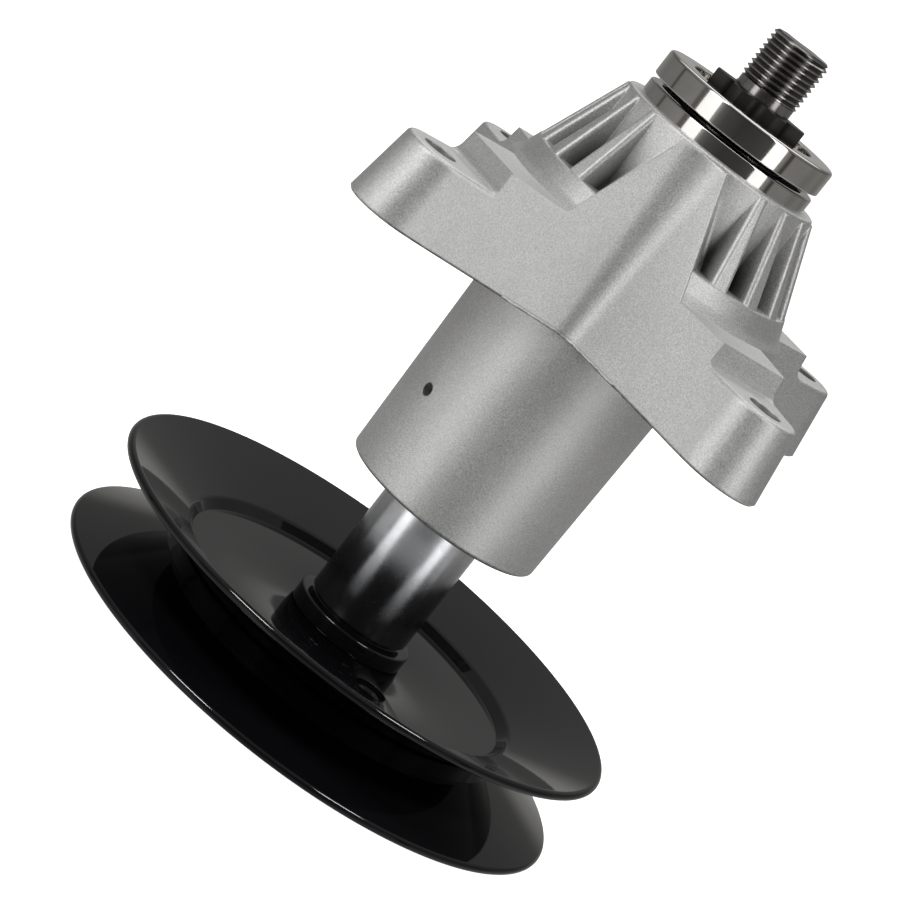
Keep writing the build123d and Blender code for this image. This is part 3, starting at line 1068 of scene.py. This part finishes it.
CAMERA_PLACE = (0.05396, -0.72707, 0.22666)
CAMERA_AIM = (-0.08173, 0.97326, -0.21466)
CAMERA_ROLL = math.radians(37.98)
CAMERA_LENS = 124.904
SENSOR = 36.0
FLOOR_SIZE = 60.0
FLOOR_GLOW = 1.0
CAMERA_SIDE = 4.8
LEFT_SIDE = CAMERA_SIDE - 43.5
RIGHT_SIDE = CAMERA_SIDE + 50.5
MIDDLE = (0, 0, 0.10)
TABLE_MIDDLE = (0, -0.75, 0.10)

# The room's brightness by azimuth from the camera, in degrees

ROOM = (
    (-180, 0.38), (180, 0.38), (-160, 0.28), (-150, 0.235), (-135, 0.19), (-118, 0.215),
    (-104, 0.215), (-102.5, 0.09), (-99.5, 0.09), (-98, 0.225), (-80, 0.255), (-64, 0.29),
    (-60, 0.11), (-33, 0.40), (-28, 0.15), (-20, 0.08), (0, 0.047), (20, 0.055), (38, 0.075),
    (62, 0.28), (66, 0.20), (67, 0.07), (71.5, 0.07), (72.5, 0.24), (100, 0.235), (110, 0.195),
    (125, 0.235), (140, 0.19), (150, 0.25), (160, 0.32),
)
ROOM_TINT = (1.0, 0.985, 0.96)

# How far the room is dimmed, and lit above and below, each between two heights of a unit sphere

ROOM_DIM = (0.08, 0.20, 0, 0.45)
ROOM_ABOVE = (0.25, 1, 0, 0.25)
ROOM_BELOW = (-0.19, -0.24, 0, 0.18)

PAINTED = ("pulley_top", "pulley_bottom", "collar")
CAST = ("casting", "front_wall", "front_web", "back_wall", "back_web")
UNLIT_ABOVE = PAINTED + ("sleeve",)

# Each lamp's name, azimuth, elevation, distance, width, height, brightness, and the linked pieces

LAMPS = (
    ("left_box", LEFT_SIDE, -13, 1.1, 0.40, 0.95, 1.4, PAINTED, "EXCLUDE"),
    ("left_box_upper", LEFT_SIDE, 30, 1.1, 0.40, 0.70, 3.8, UNLIT_ABOVE, "EXCLUDE"),
    ("left_fill", CAMERA_SIDE - 76, 6, 1.1, 0.45, 0.80, 0.7, CAST, "INCLUDE"),
    ("right_box", RIGHT_SIDE, -13, 1.1, 0.36, 0.95, 1.5, PAINTED, "EXCLUDE"),
    ("right_box_upper", RIGHT_SIDE, 30, 1.1, 0.36, 0.70, 3.2, UNLIT_ABOVE, "EXCLUDE"),
    ("top_box", 5, 80, 1.3, 1.0, 1.0, 1.1, PAINTED, "EXCLUDE"),
    ("back_box", CAMERA_SIDE + 180, 50, 1.3, 1.2, 0.8, 1.3, PAINTED, "EXCLUDE"),
    ("left_glint", LEFT_SIDE, 50, 1.1, 0.34, 0.15, 30, PAINTED, "INCLUDE"),
    ("right_glint", RIGHT_SIDE, 50, 1.1, 0.34, 0.15, 24, PAINTED, "INCLUDE"),
)
TABLE_GLOW = ("table_glow", 0, -90, 0.25, 2.6, 1.5, 0.42, ("sleeve",), "INCLUDE")


def lamp(name, azimuth, elevation, distance, width, height, radiance, names, state, target=MIDDLE):
    """A soft box at an azimuth from the front, that lights only the named pieces, or all but them."""
    a, e = math.radians(azimuth), math.radians(elevation)
    away = Vector((math.sin(a) * math.cos(e), -math.cos(a) * math.cos(e), math.sin(e)))
    data = bpy.data.lights.new(name, "AREA")
    data.shape = "RECTANGLE"
    data.size = width
    data.size_y = height
    data.energy = radiance * math.pi * width * height
    obj = bpy.data.objects.new(name, data)
    bpy.context.scene.collection.objects.link(obj)
    obj.location = Vector(target) + away * distance
    obj.rotation_mode = "QUATERNION"
    obj.rotation_quaternion = (-away).to_track_quat("-Z", "Y")
    obj.visible_camera = False
    chosen = bpy.data.collections.new(name)
    obj.light_linking.receiver_collection = chosen
    for piece in names:
        chosen.objects.link(bpy.data.objects[piece])
    for member in chosen.collection_objects:
        member.light_linking.link_state = state


def room_walls(tree, direction):
    """The room's brightness round the spindle."""
    side = math.radians(CAMERA_SIDE)
    axes = ((math.cos(side), math.sin(side), 0), (math.sin(side), -math.cos(side), 0))
    angle = tree.nodes.new("ShaderNodeMath")
    angle.operation = "ARCTAN2"
    for socket, axis in zip(angle.inputs, axes):
        along = tree.nodes.new("ShaderNodeVectorMath")
        along.operation = "DOT_PRODUCT"
        along.inputs[1].default_value = axis
        tree.links.new(direction, along.inputs[0])
        tree.links.new(along.outputs["Value"], socket)
    ramp = tree.nodes.new("ShaderNodeValToRGB")
    share = map_range(tree, angle.outputs["Value"], -math.pi, math.pi, 0, 1)
    tree.links.new(share, ramp.inputs["Fac"])
    stops = ramp.color_ramp.elements
    for n, (turn, level) in enumerate(ROOM):
        place = turn / 360 + 0.5
        stop = stops[n] if n < 2 else stops.new(place)
        stop.position = place
        stop.color = (*tinted(ROOM_TINT, level), 1)
    return ramp.outputs["Color"]


def surroundings(scene):
    """A grey room, dark in front of the spindle and lighter behind, above and below it."""
    world = bpy.data.worlds.new("studio")
    scene.world = world
    world.use_nodes = True
    tree = world.node_tree
    direction = tree.nodes.new("ShaderNodeTexCoord").outputs["Generated"]
    parts = tree.nodes.new("ShaderNodeSeparateXYZ")
    tree.links.new(direction, parts.inputs["Vector"])
    rise = parts.outputs["Z"]
    walls = mix_colours(tree, map_range(tree, rise, *ROOM_DIM), room_walls(tree, direction), (0, 0, 0))
    ends = tree.nodes.new("ShaderNodeMath")
    for socket, limits in zip(ends.inputs, (ROOM_ABOVE, ROOM_BELOW)):
        tree.links.new(map_range(tree, rise, *limits), socket)
    room = mix_colours(tree, 1, walls, ends.outputs["Value"], "ADD")
    tree.links.new(room, tree.nodes["Background"].inputs["Color"])


def lay_floor():
    """A pale floor, bright in itself, that casts no light or shadow on the spindle."""
    bpy.ops.object.select_all(action="DESELECT")
    bpy.ops.mesh.primitive_plane_add(size=FLOOR_SIZE, location=(0, 0, 0))
    floor = bpy.context.object
    floor.name = "floor"
    f = Finish("studio_floor")
    f.set(Metallic=0.0, Roughness=0.9, Emission_Color=(1, 1, 1, 1), Emission_Strength=FLOOR_GLOW)
    shade = f.spread(f.noise(3, 2.0, 0.5), 0.3, 0.7, 0, 1)
    f.colour(f.blend(shade, (0.93, 0.93, 0.93), (0.95, 0.95, 0.95)))
    floor.data.materials.append(f.material)
    floor.visible_glossy = False
    floor.visible_diffuse = False
    floor.visible_shadow = False


def place_camera(scene):
    """The photograph's camera."""
    data = bpy.data.cameras.new("camera")
    data.lens = CAMERA_LENS
    data.sensor_width = SENSOR
    data.sensor_fit = "HORIZONTAL"
    data.clip_end = 100
    camera = bpy.data.objects.new("camera", data)
    scene.collection.objects.link(camera)
    camera.location = CAMERA_PLACE
    camera.rotation_mode = "QUATERNION"
    aim = Vector(CAMERA_AIM).to_track_quat("-Z", "Y")
    camera.rotation_quaternion = aim @ Quaternion((0, 0, 1), CAMERA_ROLL)
    scene.camera = camera


class SPINDLE_OT_studio(bpy.types.Operator):
    """Lay the floor, set the soft lights and place the camera"""

    bl_idname = "spindle.studio"
    bl_label = "Studio"

    def execute(self, context):
        scene = context.scene
        lay_floor()
        surroundings(scene)
        for settings in LAMPS:
            lamp(*settings)
        lamp(*TABLE_GLOW, target=TABLE_MIDDLE)
        place_camera(scene)
        scene.view_settings.view_transform = "Standard"
        return {"FINISHED"}


class SPINDLE_PT_panel(bpy.types.Panel):
    """The spindle's pieces and sizes"""

    bl_idname = "SPINDLE_PT_panel"
    bl_label = "Mower deck spindle"
    bl_space_type = "VIEW_3D"
    bl_region_type = "UI"
    bl_category = "Spindle"

    def draw(self, context):
        layout = self.layout
        sizes = context.scene.spindle_sizes
        for key in ("thread_pitch", "thread_depth"):
            layout.prop(sizes, key)
        looks = context.scene.spindle_finishes
        for key in ("casting", "polished", "zinc", "shaft", "paint", "rubber"):
            layout.prop(looks, key)
        for maker in MAKERS:
            layout.operator(maker.bl_idname)


MAKERS = (
    SPINDLE_OT_pulley,
    SPINDLE_OT_stack,
    SPINDLE_OT_rings,
    SPINDLE_OT_shaft,
    SPINDLE_OT_nut,
    SPINDLE_OT_housing,
    SPINDLE_OT_walls,
    SPINDLE_OT_inside,
    SPINDLE_OT_studio,
)
CLASSES = (SpindleSizes, SpindleFinishes, *MAKERS, SPINDLE_PT_panel)


def register():
    """Register the classes and their properties."""
    for item in CLASSES:
        bpy.utils.register_class(item)
    bpy.types.Scene.spindle_sizes = bpy.props.PointerProperty(type=SpindleSizes)
    bpy.types.Scene.spindle_finishes = bpy.props.PointerProperty(type=SpindleFinishes)


def unregister():
    """Take the classes and their properties away."""
    del bpy.types.Scene.spindle_finishes
    del bpy.types.Scene.spindle_sizes
    for item in reversed(CLASSES):
        bpy.utils.unregister_class(item)


def main():
    """Make every piece."""
    register()
    for maker in MAKERS:
        group, name = maker.bl_idname.split(".")
        getattr(getattr(bpy.ops, group), name)()


if __name__ == "__main__":
    main()
